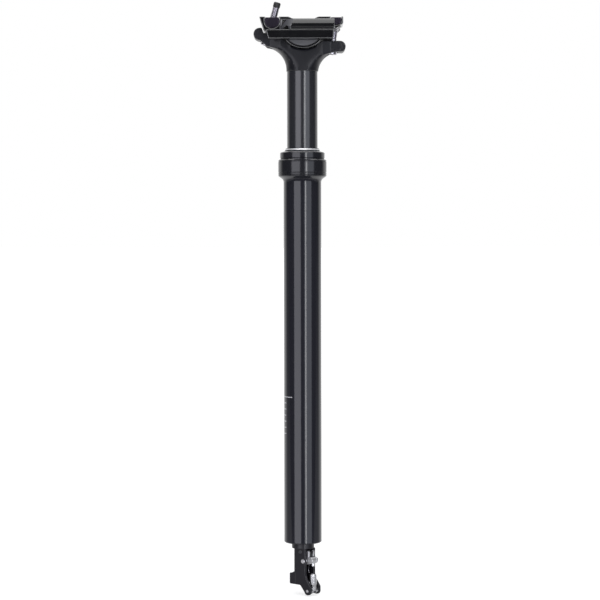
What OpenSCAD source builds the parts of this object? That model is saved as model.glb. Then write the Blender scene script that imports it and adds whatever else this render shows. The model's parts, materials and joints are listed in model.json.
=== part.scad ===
// Dropper seatpost with an inline clamp head and a release lever at its foot.
// Millimetres. Z runs up the post, X points forward on the bicycle, and the
// origin is on the post's axis where the lower tube's wall begins, above its rim's bevel.

/* [Lower tube] */
// Outside diameter of the lower tube, the seat tube size that it fits
tube_d = 30.9; // [30.4:0.1:33.9]
// Bore of the lower tube
tube_bore = 27.6; // [27.2:0.1:28.2]
// Straight length of the lower tube, from its rim to the cone
tube_len = 295.5; // [280:0.5:330]
// Height of the cone that widens the tube to its collar
cone_h = 5; // [4:0.5:9]
// Radius of the hollow where the cone leaves the tube
cone_fillet = 4; // [2:0.5:5]
// Bevel round the lower rim
rim_bevel = 0.8; // [0.2:0.1:1]

/* [Collar] */
// Diameter of the seal collar
collar_d = 39.7; // [38.8:0.1:44]
// Height of the seal collar
collar_h = 13.7; // [13:0.1:18]
// Diameter of the threaded neck inside the collar
neck_d = 34; // [33:0.1:35]
// Height of the threaded neck
neck_h = 11.2; // [10:0.1:12]
// Diameter of the wiper cap above the collar
cap_d = 36.6; // [35:0.1:39]
// Height of the wiper cap
cap_h = 6.1; // [5.5:0.1:8]
// Open line between the collar and the cap
cap_line = 0.8; // [0.3:0.1:1.2]
// Diameter of the bright scraper ring on top of the cap
ring_d = 28.6; // [28:0.1:30]
// Height of the scraper ring above the cap
ring_h = 2.2; // [1:0.1:4]
// Depth of the fine lines turned in the collar
line_depth = 0.35; // [0.1:0.05:0.5]
// Length of the upper bushing
bushing_h = 15; // [10:1:18]

/* [Stanchion] */
// Outside diameter of the stanchion that slides in the tube
stanchion_d = 25; // [24.8:0.1:25.2]
// Bore of the stanchion
stanchion_bore = 21.5; // [21:0.1:22]
// Length of the stanchion
stanchion_len = 250; // [235:1:260]
// Stanchion that shows between the scraper ring and the head
exposed = 63; // [60:0.1:100]
// Number of guide keys
key_count = 3; // [2:1:4]
// Diameter of a guide key
key_d = 2.5; // [2.3:0.1:2.7]
// Length of a guide key
key_len = 14; // [8:1:20]
// Length of the lower bushing
lower_bushing_h = 18; // [10:1:22]

/* [Cartridge] */
// Outside diameter of the gas cartridge
cartridge_d = 19.6; // [18.8:0.1:20.4]
// Wall of the gas cartridge
cartridge_wall = 1.2; // [0.8:0.1:1.6]
// Diameter of the cartridge shaft
shaft_d = 8; // [7:0.5:9]
// Height of the piston on the shaft
piston_h = 12; // [10:0.5:14]
// Height of the piston's lower face above the tube's rim
piston_z = 258; // [257:0.5:262]
// Diameter of the valve rod that runs through the shaft
valve_d = 3; // [2.4:0.1:3.6]

/* [Head] */
// Radius of the cradle that the lower clamp rocks in
cradle_r = 19.85; // [19.5:0.05:20.2]
// Height of the cradle's axis above the stanchion
cradle_h = 37.8; // [37.3:0.1:38.5]
// Half width of the head at the cradle
cradle_half = 12.4; // [11:0.1:13.5]
// Half width of the arms that hold the bolts
arm_half = 9; // [8:0.1:10]
// Reach of the rear arm behind the post's axis, to the middle of its round end
rear_reach = 34.7; // [34:0.1:36]
// Height of the rear arm's round end above the stanchion
rear_rise = 30.1; // [29:0.1:30.6]
// Radius of the rear arm's round end
rear_end_r = 5; // [4.6:0.1:5.4]
// Reach of the front arm, to the middle of its round end
front_reach = 30.9; // [30:0.1:33]
// Height of the front arm's round end above the stanchion
front_rise = 19.8; // [19.2:0.1:20.6]
// Radius of the front arm's round end
front_end_r = 4.6; // [4.2:0.1:5]
// Radius of the hollow that runs from the neck into the rear arm
rear_hollow = 18.7; // [18:0.1:20]
// Radius of the hollow that runs from the neck into the front arm
front_hollow = 17.4; // [17:0.1:19]
// Depth of the spigot bonded into the stanchion
spigot_len = 22; // [18:1:24]

/* [Saddle clamp] */
// Diameter of the saddle rails
rail_d = 7; // [6.8:0.1:7.4]
// Distance between the two saddle rails
rail_gap = 44; // [43:0.5:46]
// Height of the rails above the stanchion
rail_h = 32; // [31.6:0.1:32.4]
// Half width of the clamp over its wings
wing_half = 28; // [27:0.5:31]
// Reach of the upper clamp behind the post's axis
spine_rear = 34.9; // [34:0.1:37]
// Reach of the upper clamp in front of the post's axis
spine_front = 33.4; // [33:0.1:35]
// Height of the upper clamp
spine_h = 11.1; // [10.8:0.1:12]
// Depth of the dip in the middle of the upper clamp
dip = 2.5; // [1:0.1:3]
// Depth of the lower clamp's wings
wing_h = 6.9; // [6:0.1:8]
// Open line between the two clamp halves
split = 0.8; // [0.4:0.1:1.2]
// Rounding of the upper clamp's long edges
shoulder = 4.5; // [2:0.5:5]

/* [Clamp bolts] */
// Thread diameter of the clamp bolts
bolt_d = 6; // [5:0.5:6]
// Diameter of the bolt heads
bolt_head_d = 9.8; // [9:0.1:10]
// Forward lean of the rear bolt
rear_lean = 14.8; // [14:0.1:16]
// Forward lean of the front bolt
front_lean = 9; // [8.5:0.1:10]
// Rear bolt's length above the middle of its head
rear_bolt_len = 34; // [30:0.1:36]
// Front bolt's length above the middle of its head
front_bolt_len = 26.6; // [25:0.1:32]
// Diameter of the rear barrel nut
rear_nut_d = 12.2; // [11.4:0.1:12.4]
// Diameter of the front barrel nut
front_nut_d = 9.2; // [8.8:0.1:9.4]
// Distance of the nuts' ends inside the clamp's sides
nut_inset = 0.3; // [0.2:0.1:3]

/* [Release] */
// Turn of the lever bracket about the post
actuator_turn = -43; // [-180:1:180]
// Width of the lever bracket over its walls
bracket_w = 12.8; // [12.4:0.1:13.2]
// Thickness of the bracket's walls
bracket_wall = 2.2; // [1.8:0.1:2.4]
// Depth of the lever bracket below the tube's rim
bracket_drop = 43.2; // [42.5:0.1:45]
// Diameter of the hub that screws the bracket to the foot plug
hub_d = 18.4; // [17.4:0.1:19.4]
// Diameter of the lever's pivot pin
pivot_d = 3; // [2.4:0.1:3.4]
// Distance of the pivot pin in front of the post's axis
pivot_u = 6; // [5.8:0.1:6.4]
// Thickness of each lever cheek
cheek_t = 1.6; // [1.2:0.1:1.8]
// Distance of the cable in front of the post's axis
cable_u = 11.2; // [11:0.1:11.6]
// Diameter of the cable housing's socket
housing_d = 4.3; // [4:0.1:4.6]
// Outside diameter of the housing stop
stop_d = 6; // [5.8:0.1:6.4]
// Wire diameter of the return spring
wire_d = 0.45; // [0.35:0.05:0.5]
// Number of curls in the return spring
curls = 2; // [1:1:2]

/* [Fits] */
// Radial clearance of sliding and turning fits
run_gap = 0.05; // [0.02:0.01:0.08]
// Clearance of screwed, bonded and pressed fits
seat_gap = 0.02; // [0.01:0.01:0.04]
// Gap between pieces that pass each other without touching
free_gap = 0.3; // [0.2:0.05:0.4]

/* [Hidden] */

$fn = 72;
far = 200;

// Finishes of the pieces
anodised = [0.10, 0.10, 0.11];
gloss_black = [0.06, 0.06, 0.07];
satin_black = [0.16, 0.16, 0.17];
bright = [0.82, 0.82, 0.84];
dark_steel = [0.24, 0.22, 0.26];
rubber_black = [0.08, 0.08, 0.08];
brass_yellow = [0.78, 0.62, 0.28];
plastic_grey = [0.45, 0.45, 0.47];

// Tube and foot
tube_r = tube_d / 2;
bore_r = tube_bore / 2;
foot_r = bore_r + 0.5;
plug_bottom = 2;
plug_top = 13.5;
clip_t = 1.2;
clip_z = plug_bottom - clip_t - seat_gap;
clip_groove = 0.4;
clip_width = 1.7;

// Collar, from the tube's shoulder up
stanchion_r = stanchion_d / 2;
shoulder_z = tube_len + cone_h;
neck_r = neck_d / 2;
neck_top = shoulder_z + neck_h;
bushing_r = bore_r + 0.8;
bushing_z = neck_top - bushing_h - 1;
collar_r = collar_d / 2;
collar_bottom = shoulder_z + seat_gap;
collar_top = collar_bottom + collar_h;
seal_floor = neck_top + 1.2;
seal_r = stanchion_r + 2.4;
collar_hub_r = seal_r + 1.3;
cap_bottom = collar_top + cap_line;
cap_top = cap_bottom + cap_h;
collar_hub_top = cap_top - 1.7;
seal_top = collar_hub_top - 0.3;
cap_r = cap_d / 2;
cap_hole_r = stanchion_r + 1.3;
ring_r = ring_d / 2;
ring_top = cap_top + ring_h;
cord_r = 0.65;
cord_groove = 0.9;
cord_z = collar_bottom + 1.3;

// Stanchion and what rides in it
stanchion_top = ring_top + exposed;
stanchion_bottom = stanchion_top - stanchion_len;
stanchion_bore_r = stanchion_bore / 2;
lower_bushing_z = stanchion_bottom + 2.5;
bushing_seat = 0.4;
key_r = key_d / 2;
key_pitch_r = (stanchion_r + bore_r) / 2;
key_z = lower_bushing_z + lower_bushing_h + 12;
groove_bottom = plug_top + 8;
groove_top = bushing_z - 4;

// Cartridge
cartridge_r = cartridge_d / 2;
chamber_r = cartridge_r - cartridge_wall;
retainer_h = 10;
cartridge_bottom = stanchion_bottom + retainer_h;
cap_flange_h = 5;
head_bottom = stanchion_top - spigot_len;
cartridge_top = head_bottom - cap_flange_h - 2 * seat_gap;
cap_plug_h = 8;
stud_r = 5;
stud_len = 11;
shaft_r = shaft_d / 2;
hub_depth = 5;
shaft_bottom = plug_bottom + hub_depth;
spigot_r = shaft_r - 1;
piston_r = chamber_r - run_gap - 0.02;
band_h = 3;
valve_r = valve_d / 2;

// Head and clamp, above the top of the stanchion
head_z = stanchion_top;
cradle_x = 1;
cradle_z = head_z + cradle_h;
rail_z = head_z + rail_h;
rail_y = rail_gap / 2;
rail_r = rail_d / 2;
clamp_low = rail_z - split / 2;
clamp_high = rail_z + split / 2;
wing_bottom = clamp_low - wing_h;
wing_inner = cradle_half + 2.4;
clamp_top = clamp_high + spine_h;
clamp_dip = clamp_top - dip;
nut_half = wing_inner - nut_inset;
nut_top = clamp_top - 0.6;
rear_nut_r = rear_nut_d / 2;
front_nut_r = front_nut_d / 2;
rear_nut = [-24.5, clamp_top - 3.5];
front_nut = [spine_front - front_nut_r - 1.2, clamp_top - 2.5];

// Bolts, each turning about the middle of its head
bolt_r = bolt_d / 2;
bolt_head_r = bolt_head_d / 2;
head_low = 2.6;
head_high = 2;
rocker_r = bolt_head_r + 0.7;
rear_seat_z = head_z + 23.6;
front_seat_z = head_z + 16.6;
rear_seat = [rear_nut[0] - (rear_nut[1] - rear_seat_z) * tan(rear_lean), rear_seat_z];
front_seat = [front_nut[0] - (front_nut[1] - front_seat_z) * tan(front_lean), front_seat_z];
bolt_room = 0.8;

// Lever bracket, in its own plane: u forward from the post's axis, z up
bracket_top = -5.5;
wall_out = bracket_w / 2;
wall_in = wall_out - bracket_wall;
web_back = -5.7;
web_front = web_back + bracket_wall;
wall_front = 7.9;
foot_back = -9.3;
foot_z = [7.7 - bracket_drop, 16.8 - bracket_drop];
pivot_r = pivot_d / 2;
pivot_z = -15.6;
ear_z = 3.4 - bracket_drop;
ear_r = 3.4;
stop_pin_r = 1.25;

// Lever, measured from its pivot
cheek_out = wall_in - 0.7;
cheek_in = cheek_out - cheek_t;
nose = [cable_u - pivot_u, 0.9];
nose_r = 2.7;
pad = [-0.2 - pivot_u, 1.2];
pad_r = 2.2;
horn = [2.6, 7.4];
valve_bottom = pivot_z + pad[1] + pad_r + free_gap;
valve_head_h = 2;
valve_head_r = valve_r + 0.8;
valve_top = piston_z + piston_h - 4;
barrel_r = 2.4;
journal_r = 1.4;
guide_r = 1.4;
cable_r = 0.9;
stop_top = pivot_z - 10.5;
stop_low = ear_z + 3;
socket_top = ear_z + 6;

// Return spring
wire_r = wire_d / 2;
coil_r = pivot_r + 0.55 + wire_r;
spring_half = cheek_in - free_gap - wire_r;
curl_rings = 8;
wire_sides = 6;

// Points of an arc about a centre
function arc(c, r, from, to, n = 12) =
    [for (i = [0:n]) let (a = from + (to - from) * i / n) [c[0] + r * cos(a), c[1] + r * sin(a)]];

// Outline points of a V line turned in a wall of radius r
function v_line(r, z, depth) = [[r, z - depth], [r - depth, z], [r, z + depth]];

// Least distance between points of a path that lie at least some steps apart
function least_gap(path, apart) = min([
    for (i = [0:len(path) - 1 - apart], j = [i + apart:len(path) - 1]) norm(path[i] - path[j])
]);

// Ring of revolution from an outline of radius and height
module turned(points) {
    rotate_extrude() polygon(points);
}

// Flat outline in X and Z, given a thickness across Y
module plate(t) {
    rotate([90, 0, 0]) linear_extrude(height = t, center = true) children();
}

// Straight pin across Y
module cross_pin(r, from, to) {
    translate([0, from, 0]) rotate([-90, 0, 0]) cylinder(r = r, h = to - from);
}

// Arm with round ends of different size
module tapered_arm(a, ra, b, rb) {
    along = atan2(b[1] - a[1], b[0] - a[0]);
    side = acos((ra - rb) / norm(b - a));
    translate(a) circle(r = ra);
    translate(b) circle(r = rb);
    polygon([
        a + ra * [cos(along + side), sin(along + side)],
        a + ra * [cos(along - side), sin(along - side)],
        b + rb * [cos(along - side), sin(along - side)],
        b + rb * [cos(along + side), sin(along + side)]
    ]);
}

// Tube with triangle faces swept along a list of points
module wire_sweep(path, r, sides) {
    last = len(path) - 1;
    function heading(i) =
        let (d = path[min(i + 1, last)] - path[max(i - 1, 0)]) d / norm(d);
    function ring(i) =
        let (t = heading(i), s = cross(t, [0, 1, 0.001]), e = s / norm(s), n = cross(t, e))
        [for (k = [0:sides - 1]) path[i] + r * (cos(360 * k / sides) * e + sin(360 * k / sides) * n)];
    points = [for (i = [0:last]) each ring(i)];
    skin = [for (i = [0:last - 1], k = [0:sides - 1])
        let (a = i * sides + k, b = i * sides + (k + 1) % sides)
        each [[a, b, a + sides], [b, b + sides, a + sides]]];
    caps = [for (k = [1:sides - 2])
        each [[0, k + 1, k], [last * sides, last * sides + k, last * sides + k + 1]]];
    polyhedron(points, concat(skin, caps));
}

// Frame of the lever bracket
module actuator_frame() {
    rotate([0, 0, actuator_turn]) children();
}

// Frame of the lever, at its pivot
module lever_frame() {
    actuator_frame() translate([pivot_u, 0, pivot_z]) children();
}

// Frame of a bolt, at the middle of its head
module bolt_frame(seat, lean) {
    translate([seat[0], 0, seat[1]]) rotate([0, lean, 0]) children();
}

module lower_tube() {
    cone_angle = 50;
    color(anodised) difference() {
        turned(concat(
            [[foot_r, -rim_bevel], [tube_r - rim_bevel, -rim_bevel], [tube_r, 0]],
            arc([tube_r + cone_fillet, tube_len], cone_fillet, 180, 180 - cone_angle, 8),
            [
                [collar_r - 0.3, shoulder_z], [neck_r, shoulder_z],
                [neck_r, cord_z - cord_r], [neck_r - cord_groove, cord_z - cord_r],
                [neck_r - cord_groove, cord_z + cord_r], [neck_r, cord_z + cord_r],
                [neck_r, neck_top], [bushing_r, neck_top],
                [bushing_r, bushing_z], [bore_r, bushing_z],
                [bore_r, plug_top], [foot_r, plug_top],
                [foot_r, clip_z + clip_t + seat_gap], [foot_r + clip_groove, clip_z + clip_t + seat_gap],
                [foot_r + clip_groove, clip_z - seat_gap], [foot_r, clip_z - seat_gap]
            ]
        ));
        key_places() translate([0, 0, groove_bottom])
            cylinder(r = key_r + run_gap, h = groove_top - groove_bottom);
    }
}

// Places of the guide keys round the stanchion
module key_places() {
    for (k = [0:key_count - 1])
        rotate([0, 0, 90 + 360 * k / key_count]) translate([key_pitch_r, 0, 0]) children();
}

module seal_collar() {
    bevel = 0.8;
    relief = neck_r + 0.5;
    color(gloss_black) turned(concat(
        [[relief, collar_bottom], [collar_r - 0.4, collar_bottom], [collar_r, collar_bottom + 0.4]],
        v_line(collar_r, collar_bottom + 1.2, line_depth),
        v_line(collar_r, collar_bottom + 2.9, line_depth),
        v_line(collar_r, collar_top - bevel - 0.8, line_depth),
        [
            [collar_r, collar_top - bevel], [collar_r - bevel, collar_top],
            [collar_hub_r, collar_top], [collar_hub_r, collar_hub_top],
            [seal_r, collar_hub_top], [seal_r, seal_floor],
            [stanchion_r + 0.7, seal_floor], [stanchion_r + 0.7, neck_top + seat_gap],
            [neck_r + seat_gap, neck_top + seat_gap], [neck_r + seat_gap, cord_z + 1.2],
            [relief, cord_z + 1.2]
        ]
    ));
}

module wiper_cap() {
    bevel = 0.5;
    inner = collar_hub_r + seat_gap;
    color(gloss_black) turned([
        [inner, cap_bottom], [cap_r - bevel, cap_bottom], [cap_r, cap_bottom + bevel],
        [cap_r, cap_top - 1.6], [cap_r - 0.4, cap_top - 1.1], [ring_r + 0.4, cap_top],
        [cap_hole_r, cap_top], [cap_hole_r, collar_hub_top + seat_gap],
        [inner, collar_hub_top + seat_gap]
    ]);
}

module wiper_ring() {
    inner = stanchion_r + free_gap;
    color(bright) turned([
        [inner, seal_top + seat_gap], [cap_hole_r - seat_gap, seal_top + seat_gap],
        [cap_hole_r - seat_gap, cap_top + seat_gap], [ring_r, cap_top + seat_gap],
        [ring_r, cap_top + 0.7], [ring_r - 0.8, ring_top], [inner, ring_top]
    ]);
}

module wiper_seal() {
    inner = stanchion_r + run_gap;
    color(rubber_black) turned([
        [inner + 0.7, seal_floor + seat_gap], [seal_r - seat_gap, seal_floor + seat_gap],
        [seal_r - seat_gap, seal_top], [inner + 0.9, seal_top],
        [inner, seal_top - 1.4], [inner, seal_top - 1.8],
        [inner + 0.7, seal_top - 2.8], [inner, seal_floor + 1.8], [inner, seal_floor + 1.3]
    ]);
}

// Plain bearing sleeve, split along one side
module split_sleeve(inner, outer, z, h, cut_turn) {
    bevel = 0.3;
    difference() {
        turned([
            [inner, z + bevel], [inner + bevel, z], [outer - bevel, z], [outer, z + bevel],
            [outer, z + h - bevel], [outer - bevel, z + h], [inner + bevel, z + h], [inner, z + h - bevel]
        ]);
        rotate([0, 0, cut_turn]) translate([0, -0.4, z - 1]) cube([outer + 1, 0.8, h + 2]);
    }
}

module upper_bushing() {
    color(plastic_grey)
        split_sleeve(stanchion_r + run_gap, bushing_r - seat_gap, bushing_z + seat_gap, bushing_h, 30);
}

module collar_o_ring() {
    middle = neck_r - cord_groove + cord_r + seat_gap;
    color(rubber_black) rotate_extrude() translate([middle, cord_z]) circle(r = cord_r - seat_gap);
}

module foot_plug() {
    bevel = 0.6;
    outer = foot_r - seat_gap;
    color(satin_black) turned([
        [hub_d / 2 + seat_gap, plug_bottom], [outer - bevel, plug_bottom], [outer, plug_bottom + bevel],
        [outer, plug_top - bevel], [outer - bevel, plug_top - seat_gap],
        [shaft_r + seat_gap, plug_top - seat_gap], [shaft_r + seat_gap, shaft_bottom],
        [hub_d / 2 + seat_gap, shaft_bottom]
    ]);
}

module foot_circlip() {
    outer = foot_r + clip_groove - seat_gap;
    inner = outer - clip_width;
    mouth = 6;
    lug_r = 1.3;
    lug_turn = 12;
    color(bright) actuator_frame() rotate([0, 0, 180]) translate([0, 0, clip_z]) difference() {
        union() {
            cylinder(r = outer, h = clip_t);
            intersection() {
                cylinder(r = outer, h = clip_t);
                for (s = [-1, 1]) rotate([0, 0, s * lug_turn])
                    translate([inner - 0.6, 0, 0]) cylinder(r = lug_r + 0.6, h = clip_t);
            }
        }
        difference() {
            translate([0, 0, -1]) cylinder(r = inner, h = clip_t + 2);
            for (s = [-1, 1]) rotate([0, 0, s * lug_turn])
                translate([inner - 0.6, 0, -2]) cylinder(r = lug_r + 0.6, h = clip_t + 4);
        }
        for (s = [-1, 1]) rotate([0, 0, s * lug_turn])
            translate([inner - 0.5, 0, -1]) cylinder(r = 0.8, h = clip_t + 2);
        linear_extrude(height = 10, center = true)
            polygon([[0, 0], far * [cos(mouth), sin(mouth)], far * [cos(mouth), -sin(mouth)]]);
    }
}

module cartridge_shaft() {
    top = piston_z + piston_h + 1;
    bore = valve_r + run_gap;
    color(bright) turned([
        [bore, shaft_bottom + seat_gap], [shaft_r, shaft_bottom + seat_gap], [shaft_r, piston_z],
        [spigot_r, piston_z], [spigot_r, top], [bore, top]
    ]);
}

module shaft_piston() {
    low = piston_z + seat_gap;
    high = piston_z + piston_h;
    middle = (low + high) / 2;
    band_r = piston_r - 1.2;
    color(plastic_grey) turned([
        [spigot_r + seat_gap, low], [piston_r - 0.6, low], [piston_r, low + 0.6],
        [piston_r, middle - band_h / 2], [band_r, middle - band_h / 2],
        [band_r, middle + band_h / 2], [piston_r, middle + band_h / 2],
        [piston_r, high - 0.6], [piston_r - 0.6, high], [spigot_r + seat_gap, high]
    ]);
}

module piston_ring() {
    middle = piston_z + seat_gap / 2 + piston_h / 2;
    low = middle - band_h / 2 + seat_gap;
    high = middle + band_h / 2 - seat_gap;
    color(rubber_black) turned([
        [piston_r - 1.2 + seat_gap, low], [chamber_r - run_gap, low],
        [chamber_r - run_gap, high], [piston_r - 1.2 + seat_gap, high]
    ]);
}

module actuator_bracket() {
    corner = 3;
    lean_low = [2.5, foot_z[0]];
    ear = [cable_u - 0.6, ear_z];
    color(satin_black) actuator_frame() difference() {
        union() {
            translate([0, 0, bracket_top]) cylinder(r = hub_d / 2, h = shaft_bottom - bracket_top);
            intersection() {
                plate(bracket_w) union() {
                    polygon([
                        [web_back, bracket_top], [wall_front, bracket_top], [wall_front, foot_z[1]],
                        [wall_front + 1.4, foot_z[1] - 4], [ear[0] + ear_r, ear_z + 3.4],
                        ear + [ear_r, 0], ear - [0, ear_r], ear + [-2.3, -2.2],
                        lean_low, [web_back, foot_z[0]]
                    ]);
                    translate(ear) circle(r = ear_r);
                }
                linear_extrude(height = far, center = true) {
                    translate([web_back + corner, -wall_out]) square([far, bracket_w]);
                    translate([web_back, corner - wall_out]) square([far, bracket_w - 2 * corner]);
                    for (s = [-1, 1]) translate([web_back + corner, s * (wall_out - corner)])
                        circle(r = corner);
                }
            }
            plate(bracket_w) polygon([
                [foot_back, foot_z[0] + 0.6], [foot_back, foot_z[1] - 0.5], [foot_back + 0.5, foot_z[1]],
                [web_back - 0.8, foot_z[1]], [web_back, foot_z[1] + 1],
                [web_front, foot_z[1] + 1], [web_front, foot_z[0]], [foot_back + 0.6, foot_z[0]]
            ]);
        }
        translate([web_front, -wall_in, -far + bracket_top]) cube([far, 2 * wall_in, far]);
        translate([0, 0, bracket_top - 1]) cylinder(r = valve_r + run_gap, h = far);
        translate([pivot_u, 0, pivot_z]) cross_pin(pivot_r + seat_gap, -far, far);
        translate([ear[0], 0, ear_z]) cross_pin(stop_pin_r + seat_gap, -far, far);
        lock_place() cross_pin(1.5 + seat_gap, -far, far);
    }
}

// Place of the grub screw in the near wall
module lock_place() {
    translate([2.6, 0, -8.2]) intersection() {
        children();
        translate([-far / 2, -far, -far / 2]) cube(far);
    }
}

module lock_screw() {
    color(bright) actuator_frame() lock_place() difference() {
        cross_pin(1.5, -wall_out, -wall_in);
        translate([0, -wall_out, 0]) rotate([90, 0, 0]) cylinder(r = 0.85, h = 2.4, center = true, $fn = 6);
    }
}

module lever_pivot_pin() {
    head_r = pivot_r + 0.4;
    head_h = 0.6;
    groove_z = wall_out + seat_gap;
    color(bright) lever_frame() rotate([-90, 0, 0]) turned([
        [0, -wall_out - head_h], [head_r - 0.2, -wall_out - head_h], [head_r, -wall_out - head_h + 0.2],
        [head_r, -wall_out - seat_gap], [pivot_r, -wall_out - seat_gap],
        [pivot_r, groove_z], [pivot_r - 0.35, groove_z], [pivot_r - 0.35, groove_z + 0.6],
        [pivot_r, groove_z + 0.6], [pivot_r, groove_z + 1.2], [pivot_r - 0.2, groove_z + 1.4],
        [0, groove_z + 1.4]
    ]);
}

module pivot_clip() {
    outer = pivot_r + 1.4;
    neck = pivot_r - 0.35 + seat_gap;
    back = wall_out + 2 * seat_gap;
    color(bright) lever_frame() translate([0, back, 0]) rotate([-90, 0, 0]) difference() {
        cylinder(r = outer, h = 0.5);
        translate([0, 0, -1]) cylinder(r = neck, h = 3);
        translate([0, -neck, -1]) cube([outer + 1, 2 * neck, 3]);
        for (s = [-1, 1]) rotate([0, 0, 180 + s * 55])
            translate([pivot_r + 0.35, 0, -1]) cylinder(r = 0.6, h = 3);
    }
}

module housing_stop() {
    trunnion_r = 2.7;
    color(bright) actuator_frame() difference() {
        union() {
            translate([cable_u, 0, 0]) turned([
                [0, ear_z], [stop_d / 2 - 0.25, ear_z], [stop_d / 2 - 0.2, stop_low + 1],
                [stop_d / 2, stop_low + 2], [stop_d / 2, stop_top - 0.5],
                [stop_d / 2 - 0.5, stop_top], [0, stop_top]
            ]);
            translate([cable_u - 0.6, 0, ear_z])
                cross_pin(trunnion_r, -wall_in + 0.1, wall_in - 0.1);
        }
        translate([cable_u, 0, socket_top - far]) cylinder(r = housing_d / 2, h = far);
        translate([cable_u, 0, ear_z]) cylinder(r = cable_r + 0.1, h = far);
        translate([cable_u - 0.6, 0, ear_z]) cross_pin(stop_pin_r + seat_gap, -far, far);
    }
}

module stop_pins() {
    color(bright) actuator_frame() translate([cable_u - 0.6, 0, ear_z]) for (s = [-1, 1])
        rotate([0, 0, 90 - s * 90]) cross_pin(stop_pin_r, housing_d / 2 + 0.8, wall_out + 0.3);
}

// Return spring: a leg that stands on the housing stop, the curls round the
// pivot pin, and a leg under the cable barrel
module return_spring() {
    turns = curls + 0.75;
    steps = round(turns * curl_rings);
    leg_low = stop_top - pivot_z + free_gap + wire_r;
    lower_leg = [
        [coil_r + 0.9, -spring_half, leg_low], [coil_r + 0.3, -spring_half, leg_low + 0.2],
        [coil_r - 0.5, -spring_half, leg_low + 1.2], [coil_r - 0.7, -spring_half, leg_low + 3],
        [coil_r - 0.4, -spring_half, leg_low + 5.5], [coil_r, -spring_half, leg_low + 7.8]
    ];
    coil = [for (i = [0:steps]) let (a = 360 * turns * i / steps)
        [coil_r * cos(a), -spring_half + 2 * spring_half * i / steps, coil_r * sin(a)]];
    upper_leg = [for (x = [1.2, 2.6, 4]) [x, spring_half, -coil_r]];
    path = concat(lower_leg, coil, upper_leg);
    echo(spring_least_gap = least_gap(path, curl_rings / 2) - wire_d);
    color(bright) lever_frame() wire_sweep(path, wire_r, wire_sides);
}

module stanchion() {
    seat_r = stanchion_r - bushing_seat;
    high = lower_bushing_z + lower_bushing_h;
    color(gloss_black) difference() {
        turned([
            [stanchion_bore_r, stanchion_bottom], [stanchion_r - 0.6, stanchion_bottom],
            [stanchion_r, stanchion_bottom + 0.6], [stanchion_r, lower_bushing_z],
            [seat_r, lower_bushing_z], [seat_r, high], [stanchion_r, high],
            [stanchion_r, stanchion_top - seat_gap], [stanchion_bore_r, stanchion_top - seat_gap]
        ]);
        key_places() translate([0, 0, key_z]) cylinder(r = key_r + seat_gap, h = key_len);
    }
}

// Flare of the head on one side: a round hollow from the neck out to the arm
module head_flare(middle, r, reach) {
    low = asin(-middle[1] / r);
    rotate_extrude(angle = 180) polygon(concat(
        [[0, 0]], arc(middle, r, 180 - low, 90, 16), [[reach, middle[1] + r], [reach, 60], [0, 60]]
    ));
}

module saddle_head() {
    neck = stanchion_r + 0.45;
    rear_tip = [-rear_reach, rear_rise];
    front_tip = [front_reach, front_rise];
    rear_top = rear_rise + rear_end_r;
    front_top = front_rise + front_end_r;
    deck = rear_rise - 0.3;
    plan = [
        [-45, arm_half], [-26, arm_half], [-18, cradle_half],
        [16, cradle_half], [23, arm_half], [45, arm_half]
    ];
    ridge_step = 1.1;
    ridge_depth = 0.35;
    color(satin_black) difference() {
        union() {
            translate([0, 0, head_z]) intersection() {
                union() {
                    rotate([0, 0, 90])
                        head_flare([neck + rear_hollow, 1.2], rear_hollow, rear_reach + 6);
                    rotate([0, 0, -90])
                        head_flare([neck + front_hollow, -1.8], front_hollow, front_reach + 6);
                }
                plate(2 * cradle_half) union() {
                    polygon([
                        [-14.5, 0], [-26.5, 18], [rear_tip[0], rear_rise - rear_end_r],
                        [rear_tip[0], rear_top], [rear_tip[0] + 1, rear_top], [rear_tip[0] + 2.6, deck],
                        [-10, deck], [cradle_x, 20], [13, front_top], [front_tip[0], front_top],
                        [front_tip[0], front_rise - front_end_r], [24, front_rise - front_end_r - 0.3],
                        [14.5, 0]
                    ]);
                    intersection() {
                        translate(rear_tip) circle(r = rear_end_r);
                        translate([-far - rear_reach, 0]) square(far);
                    }
                    translate(front_tip) circle(r = front_end_r);
                }
                linear_extrude(height = far, center = true) polygon(concat(
                    plan, [for (i = [len(plan) - 1:-1:0]) [plan[i][0], -plan[i][1]]]
                ));
            }
            translate([0, 0, head_bottom]) cylinder(r = stanchion_bore_r - seat_gap, h = spigot_len + 1);
        }
        translate([cradle_x, 0, cradle_z]) cross_pin(cradle_r + free_gap, -far, far);
        translate([0, 0, head_bottom - 1]) cylinder(r = stud_r + seat_gap, h = stud_len + 2);
        bolt_recess(rear_seat, rear_lean);
        bolt_recess(front_seat, front_lean);
        translate([0, 0, head_z]) for (s = [-1, 1], k = [1:2]) translate([0, s * arm_half, 0])
            plate(2 * ridge_depth) intersection() {
                difference() {
                    translate(front_tip) circle(r = front_end_r - k * ridge_step + ridge_depth);
                    translate(front_tip) circle(r = front_end_r - k * ridge_step - ridge_depth);
                }
                translate([front_reach, 0]) square(far);
            }
    }
}

// Recess for a bolt's head, with a round roof that its washer rocks under
module bolt_recess(seat, lean) {
    head_room = bolt_head_r + bolt_room;
    bolt_frame(seat, lean) {
        translate([0, 0, -far]) cylinder(r = head_room, h = far);
        intersection() {
            translate([0, 0, -1]) cylinder(r = head_room, h = far);
            cross_pin(rocker_r + run_gap, -far, far);
        }
        cylinder(r = bolt_r + bolt_room, h = far / 8);
    }
}

module lower_bushing() {
    color(plastic_grey) split_sleeve(
        stanchion_r - bushing_seat + seat_gap, bore_r - run_gap,
        lower_bushing_z + seat_gap, lower_bushing_h - 2 * seat_gap, 150
    );
}

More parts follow.
